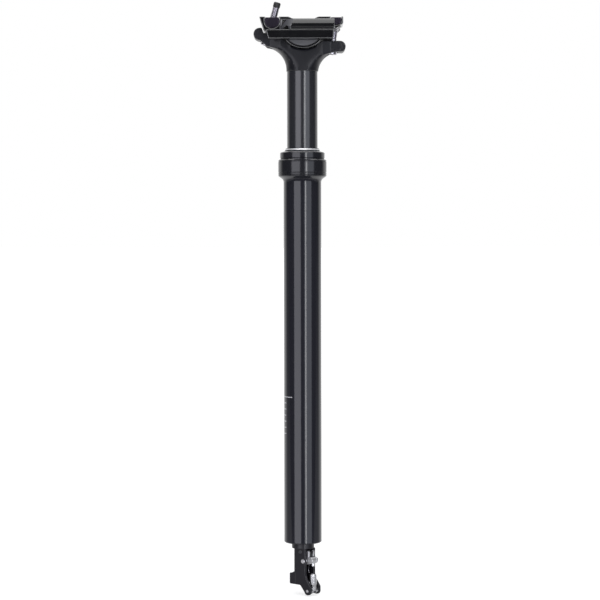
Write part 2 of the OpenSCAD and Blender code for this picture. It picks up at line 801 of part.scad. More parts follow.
module guide_keys() {
    bevel = 0.3;
    color(brass_yellow) key_places() translate([0, 0, key_z + seat_gap]) turned([
        [0, 0], [key_r - bevel, 0], [key_r, bevel],
        [key_r, key_len - bevel - 2 * seat_gap], [key_r - bevel, key_len - 2 * seat_gap],
        [0, key_len - 2 * seat_gap]
    ]);
}

module cartridge_body() {
    color(bright) turned([
        [chamber_r, cartridge_bottom + seat_gap], [cartridge_r, cartridge_bottom + seat_gap],
        [cartridge_r, cartridge_top], [chamber_r, cartridge_top]
    ]);
}

module cartridge_cap() {
    flange_r = stanchion_bore_r - seat_gap;
    low = cartridge_top + seat_gap;
    high = low + cap_flange_h;
    plug_r = chamber_r - seat_gap;
    color(bright) turned([
        [0, low - cap_plug_h], [plug_r - 0.5, low - cap_plug_h], [plug_r, low - cap_plug_h + 0.5],
        [plug_r, low], [flange_r, low], [flange_r, high],
        [stud_r, high], [stud_r, high + stud_len - 0.6], [stud_r - 0.6, high + stud_len],
        [0, high + stud_len]
    ]);
}

module shaft_seal_head() {
    low = cartridge_bottom + 2 * seat_gap;
    inner = shaft_r + run_gap;
    outer = chamber_r - seat_gap;
    height = 13;
    color(plastic_grey) turned([
        [inner, low], [outer, low], [outer, low + height - 0.8],
        [outer - 0.8, low + height], [inner, low + height]
    ]);
}

module cartridge_retainer() {
    outer = stanchion_bore_r - seat_gap;
    color(satin_black) difference() {
        turned([
            [shaft_r + 1, stanchion_bottom], [outer - 0.6, stanchion_bottom],
            [outer, stanchion_bottom + 0.6], [outer, cartridge_bottom], [shaft_r + 1, cartridge_bottom]
        ]);
        for (s = [-1, 1]) translate([s * (shaft_r + 3.6), 0, stanchion_bottom - 1])
            cylinder(r = 1.2, h = 5);
    }
}

// Round groove of each saddle rail, along X
module rail_grooves() {
    for (s = [-1, 1]) translate([-far / 2, s * rail_y, rail_z]) rotate([0, 90, 0])
        cylinder(r = rail_r, h = far);
}

module lower_clamp() {
    rear = -29;
    front = 25.3;
    lip = [front + 6.4, clamp_low + 4];
    lip_t = 0.9;
    lip_y = [wing_inner + free_gap, rail_y - rail_r - free_gap];
    color(satin_black) difference() {
        union() {
            intersection() {
                translate([cradle_x, 0, cradle_z]) cross_pin(cradle_r, -wing_inner - 1, wing_inner + 1);
                translate([-far / 2, -far / 2, clamp_low - far]) cube(far);
            }
            for (s = [-1, 1]) {
                translate([0, s * (wing_inner + wing_half) / 2, 0]) plate(wing_half - wing_inner) polygon([
                    [rear + 1.8, wing_bottom], [front - 0.6, wing_bottom], [front, wing_bottom + 0.6],
                    [front + 0.3, clamp_low], [rear, clamp_low], [rear, clamp_low - 1]
                ]);
                translate([0, s * (lip_y[0] + lip_y[1]) / 2, 0]) plate(lip_y[1] - lip_y[0]) polygon([
                    [front - 1, clamp_low - 2 * lip_t], [front + 1.7, clamp_low - lip_t / 2], lip,
                    lip + [-lip_t / 2, lip_t], [front + 1.3, clamp_low + lip_t / 2], [front - 1, clamp_low]
                ]);
            }
        }
        rail_grooves();
    }
}

// Trough that a barrel nut lies in, open upwards, with the slot that its bolt leaves by
module nut_trough(nut, r) {
    slot_half = bolt_r + bolt_room;
    lean_back = 2.9;
    lean_front = 1.2;
    side = wing_inner + seat_gap;
    translate([nut[0], 0, nut[1]]) {
        cross_pin(r + run_gap, -side, side);
        translate([-r - run_gap, -side, 0]) cube([2 * r + 2 * run_gap, 2 * side, far]);
        translate([-bolt_r - lean_back, -slot_half, -far])
            cube([2 * bolt_r + lean_back + lean_front, 2 * slot_half, far]);
    }
}

module upper_clamp() {
    window = [-13, 12];
    wing_rear = -17.6;
    wing_front = 26.1;
    wing_slant = 8;
    rise = clamp_dip - shoulder;
    side_line = v_line(wing_half, clamp_high + 1.9, 0.4);
    color(satin_black) difference() {
        union() {
            plate(2 * wing_inner) polygon([
                [-spine_rear, clamp_top], [3.6 - spine_rear, clamp_high], [spine_front - 7.9, clamp_high],
                [spine_front, clamp_high + 5.5], [spine_front, clamp_top], [13.2, clamp_top],
                [7.9, clamp_dip], [-5.1, clamp_dip], [-11.3, clamp_top]
            ]);
            intersection() {
                rotate([90, 0, 90]) linear_extrude(height = far, center = true) polygon(concat(
                    [[-wing_half, clamp_high], [wing_half, clamp_high]], side_line,
                    arc([wing_half - shoulder, rise], shoulder, 0, 90),
                    arc([shoulder - wing_half, rise], shoulder, 90, 180),
                    [for (i = [2:-1:0]) [-side_line[i][0], side_line[i][1]]]
                ));
                linear_extrude(height = 4 * far) polygon([
                    [wing_rear, -wing_inner], [wing_rear + wing_slant, -wing_half],
                    [wing_front, -wing_half], [wing_front, wing_half],
                    [wing_rear + wing_slant, wing_half], [wing_rear, wing_inner]
                ]);
            }
        }
        translate([window[0], 1.5 - wing_inner, -far])
            cube([window[1] - window[0], 2 * wing_inner - 3, 4 * far]);
        rail_grooves();
        nut_trough(rear_nut, rear_nut_r);
        nut_trough(front_nut, front_nut_r);
    }
}

// Barrel nut lying across the clamp, flat on top, with the bolt's hole through its middle
module barrel_nut(nut, r, lean) {
    bevel = 0.5;
    thread_room = 0.4;
    color(dark_steel) translate([nut[0], 0, nut[1]]) difference() {
        rotate([-90, 0, 0]) turned([
            [0, -nut_half], [r - bevel, -nut_half], [r, -nut_half + bevel],
            [r, nut_half - bevel], [r - bevel, nut_half], [0, nut_half]
        ]);
        rotate([0, lean, 0]) cylinder(r = bolt_r + thread_room, h = far, center = true);
        translate([-far / 2, -far / 2, nut_top - nut[1]]) cube(far);
    }
}

module rear_barrel_nut() {
    barrel_nut(rear_nut, rear_nut_r, rear_lean);
}

module front_barrel_nut() {
    barrel_nut(front_nut, front_nut_r, front_lean);
}

// Socket head bolt standing on the middle of its head
module clamp_bolt(seat, lean, length) {
    tip = 1;
    socket = 5;
    color(bright) bolt_frame(seat, lean) difference() {
        turned([
            [0, -head_low], [bolt_head_r - 0.6, -head_low], [bolt_head_r, -head_low + 0.6],
            [bolt_head_r, head_high], [bolt_r, head_high], [bolt_r, length - tip],
            [bolt_r - tip, length], [0, length]
        ]);
        translate([0, 0, -head_low - 1]) cylinder(d = socket / cos(30), h = 4, $fn = 6);
    }
}

module rear_clamp_bolt() {
    clamp_bolt(rear_seat, rear_lean, rear_bolt_len);
}

module front_clamp_bolt() {
    clamp_bolt(front_seat, front_lean, front_bolt_len);
}

// Washer with a round top that rocks in the arm as its bolt leans
module rocker_washer(seat, lean) {
    color(bright) bolt_frame(seat, lean) intersection() {
        cross_pin(rocker_r, -far, far);
        translate([0, 0, head_high + seat_gap]) difference() {
            cylinder(r = bolt_head_r, h = far);
            translate([0, 0, -1]) cylinder(r = bolt_r + seat_gap, h = far + 2);
        }
    }
}

module rear_bolt_washer() {
    rocker_washer(rear_seat, rear_lean);
}

module front_bolt_washer() {
    rocker_washer(front_seat, front_lean);
}

module release_lever() {
    color(bright) lever_frame() difference() {
        union() {
            for (s = [-1, 1]) translate([0, s * (cheek_in + cheek_out) / 2, 0]) plate(cheek_t) {
                tapered_arm([0, 0], pivot_r + 1.7, nose, nose_r);
                tapered_arm([0, 0], pivot_r + 1.7, pad, pad_r);
                tapered_arm([0, 0], pivot_r + 1.7, horn, 1.2);
            }
            translate([pad[0], 0, pad[1]]) cross_pin(pad_r, -cheek_out, cheek_out);
        }
        cross_pin(pivot_r + run_gap, -far, far);
        translate([nose[0], 0, nose[1]]) cross_pin(journal_r + seat_gap, -far, far);
    }
}

module cable_barrel() {
    side = cheek_in - seat_gap;
    color(bright) lever_frame() translate([nose[0], 0, nose[1]]) difference() {
        rotate([-90, 0, 0]) turned([
            [0, -cheek_out], [journal_r, -cheek_out], [journal_r, -side], [barrel_r, -side],
            [barrel_r, side], [journal_r, side], [journal_r, cheek_out], [0, cheek_out]
        ]);
        cylinder(r = cable_r, h = far, center = true);
        translate([0, 0, -far - 0.6]) cylinder(r = guide_r + seat_gap, h = far);
    }
}

module cable_guide() {
    color(bright) lever_frame() translate([nose[0], 0, nose[1]]) turned([
        [cable_r, -5.2], [guide_r - 0.3, -5.2], [guide_r, -4.9], [guide_r, -0.7], [cable_r, -0.7]
    ]);
}

module valve_rod() {
    color(bright) turned([
        [0, valve_bottom], [valve_head_r - 0.3, valve_bottom], [valve_head_r, valve_bottom + 0.3],
        [valve_head_r, valve_bottom + valve_head_h], [valve_r, valve_bottom + valve_head_h],
        [valve_r, valve_top - 0.4], [valve_r - 0.4, valve_top], [0, valve_top]
    ]);
}

lower_tube();
seal_collar();
wiper_cap();
wiper_ring();
wiper_seal();
upper_bushing();
collar_o_ring();
foot_plug();
foot_circlip();
cartridge_shaft();
shaft_piston();
piston_ring();
actuator_bracket();
lock_screw();
lever_pivot_pin();
pivot_clip();
housing_stop();
stop_pins();
return_spring();
stanchion();
saddle_head();
lower_bushing();
guide_keys();
cartridge_body();
cartridge_cap();
shaft_seal_head();
cartridge_retainer();
lower_clamp();
upper_clamp();
rear_barrel_nut();
front_barrel_nut();
rear_clamp_bolt();
rear_bolt_washer();
front_clamp_bolt();
front_bolt_washer();
release_lever();
cable_barrel();
cable_guide();
valve_rod();
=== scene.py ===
# %% [markdown]
# A dropper seatpost, dressed for a studio picture
#
# A dropper seatpost is a telescopic tube that carries a bicycle saddle. The construction is already
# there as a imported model: every piece has its real size and place, and the bodies know how they move.
# This lesson adds what the eye looks for: finishes, threads, soft edges, a camera and light.
# Blender works in metres here. A number in millimetres is multiplied by MM where it is written.

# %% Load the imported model
import json
from math import cos, pi, radians, sin, sqrt, tau

import bmesh
import bpy
from mathutils import Matrix, Vector
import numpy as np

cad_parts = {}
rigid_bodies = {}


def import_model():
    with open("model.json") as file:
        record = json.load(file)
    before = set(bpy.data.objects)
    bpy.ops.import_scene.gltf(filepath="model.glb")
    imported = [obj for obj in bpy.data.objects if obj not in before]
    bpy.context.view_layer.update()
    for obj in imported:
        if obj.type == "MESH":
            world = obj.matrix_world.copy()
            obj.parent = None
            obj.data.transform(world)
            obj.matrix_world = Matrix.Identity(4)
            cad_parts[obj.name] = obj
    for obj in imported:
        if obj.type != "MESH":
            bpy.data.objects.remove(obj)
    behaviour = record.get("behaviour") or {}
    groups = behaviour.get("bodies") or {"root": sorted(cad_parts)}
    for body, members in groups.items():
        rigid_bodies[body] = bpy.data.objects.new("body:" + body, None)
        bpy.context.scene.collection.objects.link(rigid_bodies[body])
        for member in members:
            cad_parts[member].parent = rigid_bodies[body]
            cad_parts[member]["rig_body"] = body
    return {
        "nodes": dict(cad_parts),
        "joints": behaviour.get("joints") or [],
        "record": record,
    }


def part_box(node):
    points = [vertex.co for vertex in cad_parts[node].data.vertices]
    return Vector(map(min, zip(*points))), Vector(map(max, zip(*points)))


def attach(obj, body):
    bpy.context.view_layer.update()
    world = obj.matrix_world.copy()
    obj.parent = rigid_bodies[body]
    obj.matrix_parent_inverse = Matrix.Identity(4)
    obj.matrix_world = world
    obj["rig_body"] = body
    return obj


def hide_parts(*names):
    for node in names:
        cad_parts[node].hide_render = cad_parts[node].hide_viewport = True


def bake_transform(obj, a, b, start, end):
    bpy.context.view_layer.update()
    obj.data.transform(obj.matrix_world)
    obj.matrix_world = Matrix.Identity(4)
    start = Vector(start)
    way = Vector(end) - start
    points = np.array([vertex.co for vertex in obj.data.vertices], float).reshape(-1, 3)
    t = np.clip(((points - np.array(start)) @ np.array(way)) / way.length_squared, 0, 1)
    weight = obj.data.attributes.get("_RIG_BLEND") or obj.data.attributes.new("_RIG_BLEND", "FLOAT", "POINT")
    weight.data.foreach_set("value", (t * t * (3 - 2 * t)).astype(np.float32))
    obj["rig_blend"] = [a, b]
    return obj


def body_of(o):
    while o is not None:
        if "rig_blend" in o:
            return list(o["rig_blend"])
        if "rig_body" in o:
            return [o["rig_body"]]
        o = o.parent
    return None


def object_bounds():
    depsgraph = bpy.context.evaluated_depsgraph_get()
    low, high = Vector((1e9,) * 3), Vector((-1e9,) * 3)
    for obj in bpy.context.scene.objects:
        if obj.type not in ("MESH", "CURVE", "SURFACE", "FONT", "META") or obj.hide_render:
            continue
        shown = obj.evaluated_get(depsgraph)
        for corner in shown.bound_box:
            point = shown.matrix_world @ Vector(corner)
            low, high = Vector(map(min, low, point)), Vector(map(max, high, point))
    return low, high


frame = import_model()
cad_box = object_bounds()
nodes = frame["nodes"]
joints = {joint["name"]: joint for joint in frame["joints"]}
slot_of = {part["node"]: part["material_slot"] for part in frame["record"]["subparts"]}
MM = 0.001

# %% [markdown]
# The photograph is a plain side view, taken with a long lens from a little above half height. A long
# lens keeps the tube's sides parallel, and the camera's height decides how far the head is seen from
# below and the foot from above. A camera could be moved by eye until the picture fits. Here it is set
# from those cues instead, because each can be measured: its height, its distance and the size of one
# pixel at the post. The lens then follows from the width of the picture.

# %% Camera
PICTURE = 600
PIXELS_PER_METRE = 1216
HORIZON_ROW = 238
POST_COLUMN = 302.5
CAMERA_HEIGHT = 0.250
CAMERA_DISTANCE = 1.67
CAMERA_ROLL = 0.0017
SENSOR_MM = 36

focal_pixels = PIXELS_PER_METRE * CAMERA_DISTANCE
camera_data = bpy.data.cameras.new("studio_camera")
camera_data.sensor_width = SENSOR_MM
camera_data.lens = SENSOR_MM * focal_pixels / PICTURE
camera = bpy.data.objects.new("studio_camera", camera_data)
bpy.context.scene.collection.objects.link(camera)
camera.location = (0, -CAMERA_DISTANCE, CAMERA_HEIGHT)
pitch = -(PICTURE / 2 - HORIZON_ROW) / focal_pixels
yaw = (POST_COLUMN - PICTURE / 2) / focal_pixels
camera.rotation_euler = (pi / 2 + pitch, CAMERA_ROLL, yaw)
bpy.context.scene.camera = camera
bpy.context.scene.view_settings.view_transform = "Standard"
print("lens of", round(camera_data.lens, 1), "mm, pitched", round(pitch, 4), "radians")

# %% [markdown]
# Shader trees are easier to read when a node is one line. `place` adds a node, sets its options and
# fills its inputs, either with a plain value or with another node's output. The others are the nodes
# that come up most often: a sum, a change of range, and a mix of two numbers or colours. The world, the
# floor and the finishes are all built from these.

# %% Nodes in one line
def feed(tree, socket, value):
    """Sets an input to a plain value, or links another node's output to it."""
    if isinstance(value, bpy.types.NodeSocket):
        tree.links.new(value, socket)
    else:
        socket.default_value = value


def place(tree, kind, inputs=None, **options):
    """Adds a shader node, with its options and with inputs by name or number."""
    node = tree.nodes.new("ShaderNode" + kind)
    for name, value in options.items():
        setattr(node, name, value)
    for name, value in (inputs or {}).items():
        feed(tree, node.inputs[name], value)
    return node


def calc(tree, operation, *values, clamp=False):
    """One number worked out from one to three others."""
    node = place(tree, "Math", dict(enumerate(values)), operation=operation, use_clamp=clamp)
    return node.outputs[0]


def remap(tree, value, low, high, to_low=0.0, to_high=1.0):
    """Carries a value from one range to another, with soft ends."""
    ends = {"From Min": low, "From Max": high, "To Min": to_low, "To Max": to_high}
    node = place(tree, "MapRange", {"Value": value, **ends}, interpolation_type="SMOOTHSTEP")
    return node.outputs["Result"]


def between(tree, value, low, high, soft):
    """1 between two limits and 0 outside them, with soft ends."""
    rise = remap(tree, value, low - soft, low + soft)
    fall = remap(tree, value, high - soft, high + soft, 1.0, 0.0)
    return calc(tree, "MULTIPLY", rise, fall)


def mix_numbers(tree, factor, first, second):
    """A number on the way from one to another."""
    return place(tree, "Mix", {"Factor": factor, 2: first, 3: second}).outputs[0]


def mix_colours(tree, factor, first, second):
    """A colour on the way from one to another."""
    node = place(tree, "Mix", {"Factor": factor, 6: first, 7: second}, data_type="RGBA")
    return node.outputs[2]


print("node helpers ready")

# %% [markdown]
# An effect that several finishes share is best built once, as a group of nodes with named inputs and
# outputs. `new_group` starts such a group, and `use` puts it into a material. Copying the nodes into
# every material would work too, but a change would then have to be made many times over.

# %% Groups
def new_group(name, inputs, outputs):
    """A shared effect: its tree, its group inputs and its group output node."""
    tree = bpy.data.node_groups.new(name, "ShaderNodeTree")
    for label, kind, value in inputs:
        socket = tree.interface.new_socket(label, in_out="INPUT", socket_type="NodeSocket" + kind)
        socket.default_value = value
    for label, kind in outputs:
        tree.interface.new_socket(label, in_out="OUTPUT", socket_type="NodeSocket" + kind)
    return tree, tree.nodes.new("NodeGroupInput").outputs, tree.nodes.new("NodeGroupOutput").inputs


def use(tree, group, inputs=None):
    """Puts a shared effect into a tree and returns its outputs."""
    node = tree.nodes.new("ShaderNodeGroup")
    node.node_tree = group
    for name, value in (inputs or {}).items():
        feed(tree, node.inputs[name], value)
    return node.outputs


print("group helpers ready")

# %% [markdown]
# The studio is white behind the post and dark round the camera, as in most product pictures. Black
# metal shows nothing but what it mirrors, so the walls of the studio matter more than the strength of
# the lamps. Walls could be built as meshes, but a world that changes with the direction does the same
# with fewer objects. Seen from the post, it is white at the back, fades to dark at both sides, and stays
# dark below and round the camera. The camera itself sees plain white everywhere.

# %% World
STUDIO_WHITE = 1.0
STUDIO_DARK = 0.05
FILL_LIGHT = 0.45
BACK_EDGE = (0.26, 0.66)
DOWN_EDGE = (-0.75, -0.25)

world = bpy.data.worlds.new("white_studio")
bpy.context.scene.world = world
world.use_nodes = True
tree = world.node_tree
tree.nodes.clear()
direction = place(tree, "TexCoord").outputs["Generated"]
toward = place(tree, "SeparateXYZ", {0: direction}).outputs
level = remap(tree, toward["Z"], *DOWN_EDGE, STUDIO_DARK, STUDIO_WHITE)
back = remap(tree, toward["Y"], *BACK_EDGE, STUDIO_DARK, level)
path = place(tree, "LightPath").outputs
lit = mix_numbers(tree, path["Is Glossy Ray"], FILL_LIGHT, back)
shown = calc(tree, "MAXIMUM", path["Is Camera Ray"], path["Is Transmission Ray"])
strength = mix_numbers(tree, shown, lit, STUDIO_WHITE)
background = place(tree, "Background", {"Color": (1, 1, 1, 1), "Strength": strength})
place(tree, "OutputWorld", {"Surface": background.outputs[0]})
print("world with", len(tree.nodes), "nodes")

# %% [markdown]
# Three lamps stand in front. A wide soft box on the left gives the broad grey band on the tube, a thin
# strip right of the camera gives its bright line, and a dimmer panel beside the strip gives the bluish
# band. On a tube the mirror angle is twice the angle of the surface, so each band's place on the tube
# tells where its lamp stands. A large soft lamp overhead lights what faces up. Lamps are given by how
# bright their face looks, since that is what the black metal mirrors.

# %% Lamps
LAMP_DISTANCE = 2.2
STRIP_DISTANCE = 2.1
LAMP_LOW = -0.8
LAMP_HIGH = 1.5
OVERHEAD_PLACE = (0, -0.5, 1.7)
COOL = (0.92, 0.92, 1.0)
BLUISH = (0.86, 0.90, 1.0)
NEUTRAL = (1, 1, 1)


def new_lamp(name, width, height, radiance, tint=NEUTRAL):
    """A rectangular soft lamp, given by how bright its face looks."""
    lamp = bpy.data.lights.new(name, "AREA")
    lamp.shape = "RECTANGLE"
    lamp.size = width
    lamp.size_y = height
    lamp.energy = radiance * pi * width * height
    lamp.color = tint
    lamp_object = bpy.data.objects.new(name, lamp)
    bpy.context.scene.collection.objects.link(lamp_object)
    return lamp_object


def stand_lamp(name, from_deg, to_deg, radiance, tint=NEUTRAL, distance=LAMP_DISTANCE):
    """An upright lamp that spans two angles round the post, counted from the camera to the right."""
    around = radians((from_deg + to_deg) / 2)
    width = 2 * distance * sin(radians(to_deg - from_deg) / 2)
    lamp = new_lamp(name, width, LAMP_HIGH - LAMP_LOW, radiance, tint)
    middle = (LAMP_LOW + LAMP_HIGH) / 2
    lamp.location = (distance * sin(around), -distance * cos(around), middle)
    lamp.rotation_euler = (pi / 2, 0, around)
    return lamp


lamps = [
    stand_lamp("left_soft_box", -54, -10, 2.4, COOL),
    stand_lamp("right_panel", 9, 58, 1.5, BLUISH),
    stand_lamp("right_strip", 16.5, 22, 7.0, distance=STRIP_DISTANCE),
    new_lamp("overhead", 1.6, 2.6, 2.1),
]
lamps[-1].location = OVERHEAD_PLACE
for lamp in lamps:
    print(lamp.name, "with", round(lamp.data.energy, 1), "watts")

# %% [markdown]
# The floor is a pale sheet just under the foot. It has to look white and still take the post's shadow,
# so the camera sees a little glow added to an ordinary pale surface. The glow fills the floor up to
# white, and where the post keeps light away it stays a shade darker. Far from the lamps the floor gets
# less light, so the glow grows with the distance from the post and the horizon doesn't show. Mirror
# rays see the glow behind the post too, so polished metal shows the white sheet. The sheet ends a little
# in front of the post, where the camera doesn't see it, so the lamps' bands run down the whole tube.

# %% Floor
FLOOR_GAP = 1 * MM
FLOOR_SIZE = 60.0
FLOOR_FRONT = -0.12
FLOOR_GLOW = (0.72, 1.0)
GLOW_REACH = (0.3, 3.0)
FLOOR_PALE = (0.36, 0.36, 0.365, 1)

floor_z = cad_box[0][2] - FLOOR_GAP
bpy.ops.mesh.primitive_plane_add(size=FLOOR_SIZE, location=(0, FLOOR_FRONT + FLOOR_SIZE / 2, floor_z))
floor = bpy.context.object
floor.name = "studio_floor"
paper = bpy.data.materials.new("floor_paper")
paper.use_nodes = True
tree = paper.node_tree
tree.nodes.clear()
pale = place(tree, "BsdfDiffuse", {"Color": FLOOR_PALE})
path = place(tree, "LightPath").outputs
spot = place(tree, "NewGeometry").outputs["Position"]
away = place(tree, "VectorMath", {0: spot}, operation="LENGTH").outputs["Value"]
level = remap(tree, away, *GLOW_REACH, *FLOOR_GLOW)
behind = calc(tree, "DIVIDE", place(tree, "SeparateXYZ", {0: spot}).outputs["Y"], away)
mirrored = calc(tree, "MULTIPLY", path["Is Glossy Ray"], remap(tree, behind, *BACK_EDGE))
shown = calc(tree, "MAXIMUM", path["Is Camera Ray"], path["Is Transmission Ray"])
shown = calc(tree, "MAXIMUM", shown, mirrored)
glow = place(tree, "Emission", {"Strength": calc(tree, "MULTIPLY", shown, level)})
both = place(tree, "AddShader", {0: pale.outputs[0], 1: glow.outputs[0]})
place(tree, "OutputMaterial", {"Surface": both.outputs[0]})
floor.data.materials.append(paper)
print("floor at", round(floor_z / MM, 1), "mm")

# %% [markdown]
# Two effects are the texture of the metal. Grain is the fine tooth of a blasted or anodised skin. Lines
# are the marks that a lathe or a drawing bench leaves, stretched by a vector that says how fast they
# change along each axis. Pictures of real metal could give both, but noise has no seams, needs no
# unwrapping and stays sharp from near by.

# %% Grain and lines
def object_noise(tree, stretch, detail, seed):
    """Noise fixed to the piece, stretched along its own axes."""
    point = place(tree, "TexCoord").outputs["Object"]
    stretched = place(tree, "VectorMath", {0: point, 1: stretch}, operation="MULTIPLY").outputs[0]
    inputs = {"Vector": stretched, "W": seed, "Scale": 1.0, "Detail": detail, "Roughness": 0.55}
    return place(tree, "TexNoise", inputs, noise_dimensions="4D").outputs["Fac"]


def build_grain():
    """Fine tooth as a height, with a slower unevenness."""
    inputs = [("Per metre", "Float", 3000.0), ("Seed", "Float", 1.0)]
    tree, given, result = new_group("grain", inputs, [("Height", "Float"), ("Patch", "Float")])
    fine = place(tree, "CombineXYZ", {k: given["Per metre"] for k in range(3)}).outputs[0]
    slow = place(tree, "VectorMath", {0: fine, 1: (0.06, 0.06, 0.06)}, operation="MULTIPLY").outputs[0]
    feed(tree, result["Height"], object_noise(tree, fine, 2.0, given["Seed"]))
    feed(tree, result["Patch"], remap(tree, object_noise(tree, slow, 3.0, given["Seed"]), 0.3, 0.7))
    return tree


def build_lines():
    """Lathe or drawing marks: noise that changes fast across the marks and slowly along them."""
    inputs = [("Stretch", "Vector", (20.0, 20.0, 6000.0)), ("Seed", "Float", 2.0)]
    tree, given, result = new_group("lines", inputs, [("Height", "Float")])
    feed(tree, result["Height"], object_noise(tree, given["Stretch"], 3.0, given["Seed"]))
    return tree


grain, lines = build_grain(), build_lines()
print("effects:", grain.name, "and", lines.name)

# %% [markdown]
# Three effects are marks of use, and two of them also paint light. Corners and ridges are made lighter in
# colour, partly as wear, where the dark skin is thin, and partly as a painted highlight where an edge
# catches the lamps. A small bevel finds a sharp corner: where the rounded normal leaves the flat one, the
# mask rises. The soft skins further down have no sharp corners left, so their ridges are found by how far
# the surface bulges.
# Smudges are the faint patches that hands leave. All of them could be painted, but masks that follow
# the shape still fit when a piece changes.

# %% Corners, ridges and smudges
RIDGE = (0.51, 0.555)


def build_edges():
    """Rounded normal near sharp corners, and a mask of those corners broken up by noise."""
    inputs = [("Width", "Float", 0.3 * MM), ("Seed", "Float", 3.0)]
    outputs = [("Normal", "Vector"), ("Mask", "Float")]
    tree, given, result = new_group("edges", inputs, outputs)
    soft = place(tree, "Bevel", {"Radius": given["Width"]}, samples=6).outputs["Normal"]
    flat = place(tree, "NewGeometry").outputs["Normal"]
    close = place(tree, "VectorMath", {0: soft, 1: flat}, operation="DOT_PRODUCT").outputs["Value"]
    corner = remap(tree, close, 0.995, 0.9)
    uneven = remap(tree, object_noise(tree, (900.0, 900.0, 900.0), 3.0, given["Seed"]), 0.42, 0.62)
    feed(tree, result["Normal"], soft)
    feed(tree, result["Mask"], calc(tree, "MULTIPLY", corner, uneven))
    return tree


def build_ridges():
    """A mask of rounded ridges, from how far a fine mesh bulges."""
    inputs = [("Strength", "Float", 0.5)]
    tree, given, result = new_group("ridges", inputs, [("Mask", "Float")])
    sharp = remap(tree, place(tree, "NewGeometry").outputs["Pointiness"], *RIDGE)
    feed(tree, result["Mask"], calc(tree, "MULTIPLY", sharp, given["Strength"]))
    return tree


def build_smudges():
    """Faint patches with soft rims."""
    inputs = [("Per metre", "Float", 60.0), ("Seed", "Float", 4.0)]
    tree, given, result = new_group("smudges", inputs, [("Mask", "Float")])
    wide = place(tree, "CombineXYZ", {k: given["Per metre"] for k in range(3)}).outputs[0]
    feed(tree, result["Mask"], remap(tree, object_noise(tree, wide, 4.0, given["Seed"]), 0.5, 0.72))
    return tree


edges, ridges, smudges = build_edges(), build_ridges(), build_smudges()
print("effects:", ", ".join(group.name for group in (edges, ridges, smudges)))

# %% [markdown]
# A finish joins the shared effects to one surface shader. Its roughness starts from a base value and moves
# with grain, lines and smudges, its colour brightens at corners and ridges, partly as wear and partly as a
# painted highlight, and grain and lines also raise a very small relief. The finishes that follow mostly
# differ in the numbers that they give, so one function makes them all and keeps each under its name. It
# returns the tree and the inputs of the surface, for the few finishes that add something more.

# %% Finish
RELIEF = 0.01 * MM
materials = {}


def finish(name, colour, rough, metal=0.0, tooth=(3000.0, 0.15), marks=None, wear_and_highlight=(0.2 * MM, 0.0, 0.5),
           smudge=0.05, specular=0.5, ridge_wear_and_highlight=0.0, seed=1.0):
    """A material from its colour and roughness. tooth: grain per metre and relief; marks: stretch and
    relief; wear_and_highlight: corner width, strength and brightness of the lighter corner, which is wear
    and painted highlight; ridge_wear_and_highlight: the same lightening on round edges."""
    material = bpy.data.materials.new(name)
    material.use_nodes = True
    tree = material.node_tree
    tree.nodes.clear()
    tone = use(tree, grain, {"Per metre": tooth[0], "Seed": seed})
    hands = use(tree, smudges, {"Seed": seed + 1})
    corner = use(tree, edges, {"Width": wear_and_highlight[0], "Seed": seed + 2})
    uneven = calc(tree, "MULTIPLY_ADD", tone["Patch"], 0.25 * rough, 0.875 * rough)
    uneven = calc(tree, "MULTIPLY_ADD", hands["Mask"], smudge, uneven)
    height = calc(tree, "MULTIPLY", tone["Height"], tooth[1])
    if marks:
        mark = use(tree, lines, {"Stretch": marks[0], "Seed": seed + 3})
        height = calc(tree, "MULTIPLY_ADD", mark["Height"], marks[1], height)
        uneven = calc(tree, "MULTIPLY", uneven, 0.85)
        uneven = calc(tree, "MULTIPLY_ADD", mark["Height"], 0.3 * rough, uneven)
    relief = place(tree, "Bump", {
        "Height": height, "Distance": RELIEF, "Strength": 1.0, "Normal": corner["Normal"],
    })
    # Lighter corners and ridges: partly wear, partly a painted highlight.
    light_mask = calc(tree, "MULTIPLY", corner["Mask"], wear_and_highlight[1], clamp=True)
    if ridge_wear_and_highlight:
        light_mask = calc(tree, "MAXIMUM", light_mask, use(tree, ridges, {"Strength": ridge_wear_and_highlight})["Mask"])
    surface = place(tree, "BsdfPrincipled", {
        "Base Color": mix_colours(tree, light_mask, colour, (wear_and_highlight[2],) * 3 + (1,)),
        "Metallic": metal, "Roughness": uneven, "Normal": relief.outputs[0],
        "Specular IOR Level": specular,
    })
    place(tree, "OutputMaterial", {"Surface": surface.outputs[0]})
    materials[name] = material
    return tree, surface.inputs


def source(socket):
    """What an input is linked to."""
    return socket.links[0].from_socket


print("finish ready")

# %% [markdown]
# Print on a tube is flat, so it is a colour and not a shape. A real tube carries a height scale: one long
# line and a row of short ticks below it. The mask works from the height along the tube and the angle
# round it, counted from the camera to the right, so that the print stays on the tube when it turns.

# %% Tick print
TICK_TOP = 119.7 * MM
TICK_STEP = 5 * MM
TICK_COUNT = 6
TICK_HALF = 0.28 * MM
TICK_SOFT = 0.05 * MM
ROW_SOFT = 0.01 * MM
LONG_TICK = (-100.0, -34.0)
SHORT_TICK = (-90.0, -62.0)
ANGLE_SOFT = 0.4


